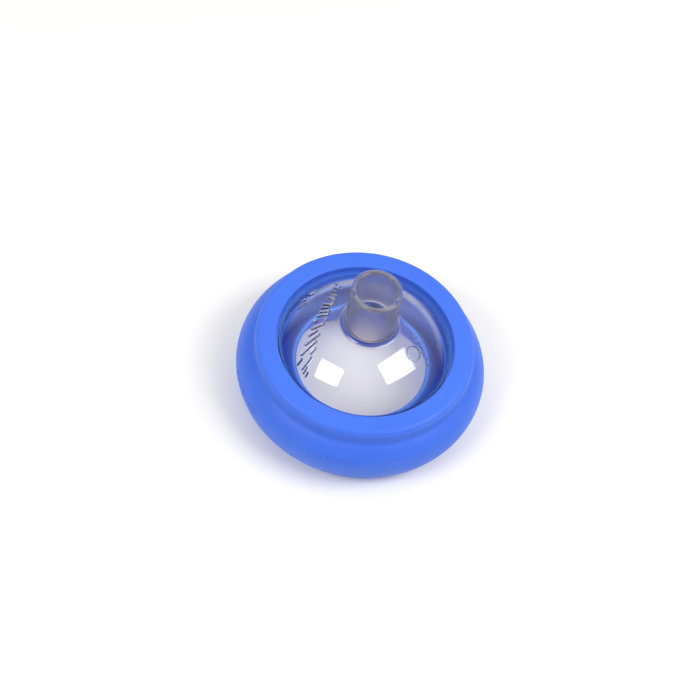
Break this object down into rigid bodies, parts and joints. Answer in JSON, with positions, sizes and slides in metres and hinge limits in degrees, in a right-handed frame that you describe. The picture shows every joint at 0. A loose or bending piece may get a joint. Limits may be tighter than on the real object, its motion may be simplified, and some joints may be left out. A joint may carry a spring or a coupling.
{
  "type": "infant resuscitation face mask",
  "caption": "Round face mask for bag ventilation: clear dome with a male connector, its rim flange held in a soft silicone cushion.",
  "frame": {"origin": "on the mask's axis, on the plane that the cushion rests on", "axes": "+Z along the mask's axis, from the face side up to the connector's open end; the mask is round, so X and Y are free"},
  "size_m": [0.077, 0.077, 0.0511],
  "materials": {
    "clear_plastic": "clear, polished, faint lilac tint",
    "blue_silicone": "moulded silicone, satin"
  },
  "bodies": {
    "cushion": {"cushion": "blue_silicone"},
    "dome": {"dome": "clear_plastic"}
  },
  "joints": [
    {"name": "dome_lift_off", "type": "slide", "parent": "cushion", "child": "dome", "axis": [0, 0, 1], "range_m": [0, 0.03], "deforming": ["cushion"]}
  ]
}
